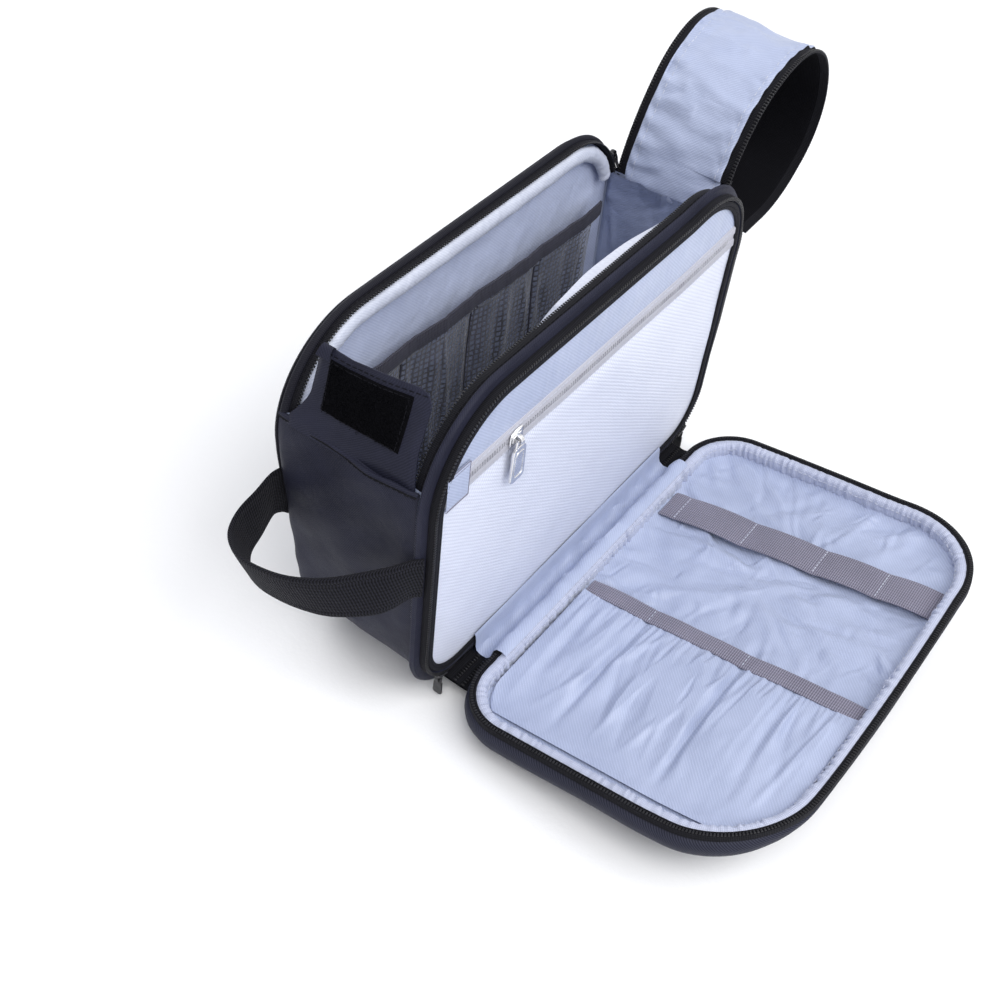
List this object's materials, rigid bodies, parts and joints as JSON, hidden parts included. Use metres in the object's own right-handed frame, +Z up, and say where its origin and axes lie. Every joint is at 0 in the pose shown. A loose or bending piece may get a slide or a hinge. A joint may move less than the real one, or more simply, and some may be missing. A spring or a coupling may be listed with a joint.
{
  "type": "toiletry bag",
  "caption": "Zipped toiletry bag shown open, with a fold-down front flap, a rolled-back lid strip, inner pockets and an end loop.",
  "frame": {"origin": "middle of the base panel, on the ground", "axes": "+X from the handle end to the end the lid is sewn to, +Y from the front flap to the rear face, +Z up"},
  "size_m": [0.4079, 0.276, 0.2157],
  "materials": {
    "shell": "fine charcoal twill",
    "zip": "black zip tape and black coated sliders",
    "webbing": "black webbing and fleece",
    "lining": "light blue polyester lining",
    "padding": "pale embossed coated sheet",
    "elastic": "grey knitted elastic",
    "mesh": "dark open mesh",
    "silver": "bright zinc slider and puller"
  },
  "bodies": {
    "case": {"front_gusset": "shell", "front_rim_zip_tape": "zip", "front_wall_lower_panel": "padding", "front_wall_upper_strip": "lining", "inner_pocket_zip": "elastic", "inner_zip_end_patch": "lining", "front_wall_back_panel": "padding", "handle_end_panel": "shell", "lid_end_panel": "shell", "bottom_panel": "shell", "front_lid_zip_tape": "zip", "rear_lid_zip_tape": "zip", "rear_top_band": "shell", "rear_piping": "shell", "rear_lower_panel": "shell", "rear_upper_panel": "shell", "rear_pocket_zip": "zip", "rear_zip_end_tab": "shell", "rear_wall_padding": "lining", "rear_rim_roll": "padding", "mesh_pocket": "mesh", "mesh_pocket_binding": "elastic", "compartment_lining": "lining", "hinge_cloth": "lining", "hinge_zip_end_left": "zip", "hinge_zip_end_right": "zip", "handle_sewn_end_rear": "webbing", "handle_sewn_end_front": "webbing"},
    "flap": {"flap_shell": "shell", "flap_lining": "lining", "flap_binding": "lining", "flap_zip_tape": "zip", "wide_elastic_loops": "elastic", "gathered_pocket": "lining", "narrow_elastic_edge": "elastic"},
    "lid_1": {"lid_panel_1": "shell"},
    "lid_2": {"lid_panel_2": "shell"},
    "lid_3": {"lid_panel_3": "shell"},
    "lid_4": {"lid_panel_4": "shell"},
    "lid_5": {"lid_panel_5": "shell"},
    "lid_6": {"lid_panel_6": "shell"},
    "lid_7": {"lid_panel_7": "shell"},
    "lid_8": {"lid_panel_8": "shell", "lid_hem": "shell", "lid_hook_patch": "webbing"},
    "tongue": {"handle_end_tongue": "shell", "loop_patch": "webbing"},
    "handle": {"handle_strap": "webbing"},
    "inner_pocket_slider": {"inner_pocket_slider": "silver"},
    "inner_pocket_puller": {"inner_pocket_puller": "silver"},
    "rear_pocket_slider": {"rear_pocket_slider": "zip"},
    "rear_pocket_puller": {"rear_pocket_puller": "zip"},
    "front_lid_zip_slider": {"front_lid_zip_slider": "zip"},
    "front_lid_zip_puller": {"front_lid_zip_puller": "zip"},
    "rear_lid_zip_slider": {"rear_lid_zip_slider": "zip"},
    "rear_lid_zip_puller": {"rear_lid_zip_puller": "zip"},
    "flap_zip_left_slider": {"flap_zip_left_slider": "zip"},
    "flap_zip_left_puller": {"flap_zip_left_puller": "zip"},
    "flap_zip_right_slider": {"flap_zip_right_slider": "zip"},
    "flap_zip_right_puller": {"flap_zip_right_puller": "zip"}
  },
  "joints": [
    {"name": "flap_open", "type": "hinge", "parent": "case", "child": "flap", "pos_m": [0, -0.0555, 0.0118], "axis": [-1, 0, 0], "range_deg": [-8, 81.4]},
    {"name": "lid_fold_1", "type": "hinge", "parent": "case", "child": "lid_1", "pos_m": [0.12333, 0, 0.148], "axis": [0, -1, 0], "range_deg": [0, 55.2]},
    {"name": "lid_fold_2", "type": "hinge", "parent": "lid_1", "child": "lid_2", "pos_m": [0.13376, 0, 0.1801], "axis": [0, -1, 0], "range_deg": [0, 59.93]},
    {"name": "lid_fold_3", "type": "hinge", "parent": "lid_2", "child": "lid_3", "pos_m": [0.15454, 0, 0.20669], "axis": [0, -1, 0], "range_deg": [0, 50.91]},
    {"name": "lid_fold_4", "type": "hinge", "parent": "lid_3", "child": "lid_4", "pos_m": [0.18729, 0, 0.21486], "axis": [0, -1, 0], "range_deg": [0, 40.04]},
    {"name": "lid_fold_5", "type": "hinge", "parent": "lid_4", "child": "lid_5", "pos_m": [0.21762, 0, 0.20006], "axis": [0, -1, 0], "range_deg": [0, 36.04]},
    {"name": "lid_fold_6", "type": "hinge", "parent": "lid_5", "child": "lid_6", "pos_m": [0.23347, 0, 0.17026], "axis": [0, -1, 0], "range_deg": [0, 38.04]},
    {"name": "lid_fold_7", "type": "hinge", "parent": "lid_6", "child": "lid_7", "pos_m": [0.22761, 0, 0.13703], "axis": [0, -1, 0], "range_deg": [0, 50.5]},
    {"name": "lid_fold_8", "type": "hinge", "parent": "lid_7", "child": "lid_8", "pos_m": [0.20101, 0, 0.11625], "axis": [0, -1, 0], "range_deg": [0, 74.16]},
    {"name": "tongue_fold", "type": "hinge", "parent": "case", "child": "tongue", "pos_m": [-0.12417, -0.0038, 0.148], "axis": [0, 1, 0], "range_deg": [0, 43.11]},
    {"name": "handle_swing", "type": "hinge", "parent": "case", "child": "handle", "pos_m": [-0.1294, 0.0005, 0.1], "axis": [0, 1, 0], "range_deg": [-45, 50]},
    {"name": "inner_pocket_zip_run", "type": "slide", "parent": "case", "child": "inner_pocket_slider", "axis": [1, 0, 0], "range_m": [-0.026, 0.156]},
    {"name": "inner_pocket_puller_swing", "type": "hinge", "parent": "inner_pocket_slider", "child": "inner_pocket_puller", "pos_m": [-0.07, -0.048, 0.145], "axis": [-1, 0, 0], "range_deg": [0, 175]},
    {"name": "rear_pocket_zip_run", "type": "slide", "parent": "case", "child": "rear_pocket_slider", "axis": [-1, 0, 0], "range_m": [-0.007, 0.195]},
    {"name": "rear_pocket_puller_swing", "type": "hinge", "parent": "rear_pocket_slider", "child": "rear_pocket_puller", "pos_m": [0.104, 0.0478, 0.138], "axis": [1, 0, 0], "range_deg": [0, 175]},
    {"name": "front_lid_zip_run", "type": "hinge", "parent": "case", "child": "front_lid_zip_slider", "pos_m": [0.077, -0.0347, 0.134], "axis": [0, -1, 0], "range_deg": [-4, 62]},
    {"name": "front_lid_zip_puller_swing", "type": "hinge", "parent": "front_lid_zip_slider", "child": "front_lid_zip_puller", "pos_m": [0.12132, -0.0347, 0.15757], "axis": [0, -1, 0], "range_deg": [0, 150]},
    {"name": "rear_lid_zip_run", "type": "hinge", "parent": "case", "child": "rear_lid_zip_slider", "pos_m": [0.077, 0.0324, 0.134], "axis": [0, -1, 0], "range_deg": [-4, 62]},
    {"name": "rear_lid_zip_puller_swing", "type": "hinge", "parent": "rear_lid_zip_slider", "child": "rear_lid_zip_puller", "pos_m": [0.12132, 0.0324, 0.15757], "axis": [0, -1, 0], "range_deg": [0, 150]},
    {"name": "flap_zip_left_run", "type": "hinge", "parent": "case", "child": "flap_zip_left_slider", "pos_m": [-0.095, -0.0442, 0.043], "axis": [0, 1, 0], "range_deg": [0, 60]},
    {"name": "flap_zip_left_puller_swing", "type": "hinge", "parent": "flap_zip_left_slider", "child": "flap_zip_left_puller", "pos_m": [-0.11013, -0.0442, 0.01571], "axis": [0, 1, 0], "range_deg": [-30, 110]},
    {"name": "flap_zip_right_run", "type": "hinge", "parent": "case", "child": "flap_zip_right_slider", "pos_m": [0.095, -0.0442, 0.043], "axis": [0, -1, 0], "range_deg": [0, 60]},
    {"name": "flap_zip_right_puller_swing", "type": "hinge", "parent": "flap_zip_right_slider", "child": "flap_zip_right_puller", "pos_m": [0.11013, -0.0442, 0.01571], "axis": [0, -1, 0], "range_deg": [-30, 110]}
  ],
  "couplings": [
    {"joint": "lid_fold_2", "follows": "lid_fold_1", "ratio": 1.0848},
    {"joint": "lid_fold_3", "follows": "lid_fold_1", "ratio": 0.9214},
    {"joint": "lid_fold_4", "follows": "lid_fold_1", "ratio": 0.7244},
    {"joint": "lid_fold_5", "follows": "lid_fold_1", "ratio": 0.652},
    {"joint": "lid_fold_6", "follows": "lid_fold_1", "ratio": 0.6882},
    {"joint": "lid_fold_7", "follows": "lid_fold_1", "ratio": 0.914},
    {"joint": "lid_fold_8", "follows": "lid_fold_1", "ratio": 1.3425},
    {"joint": "tongue_fold", "follows": "lid_fold_1", "ratio": 0.78}
  ]
}
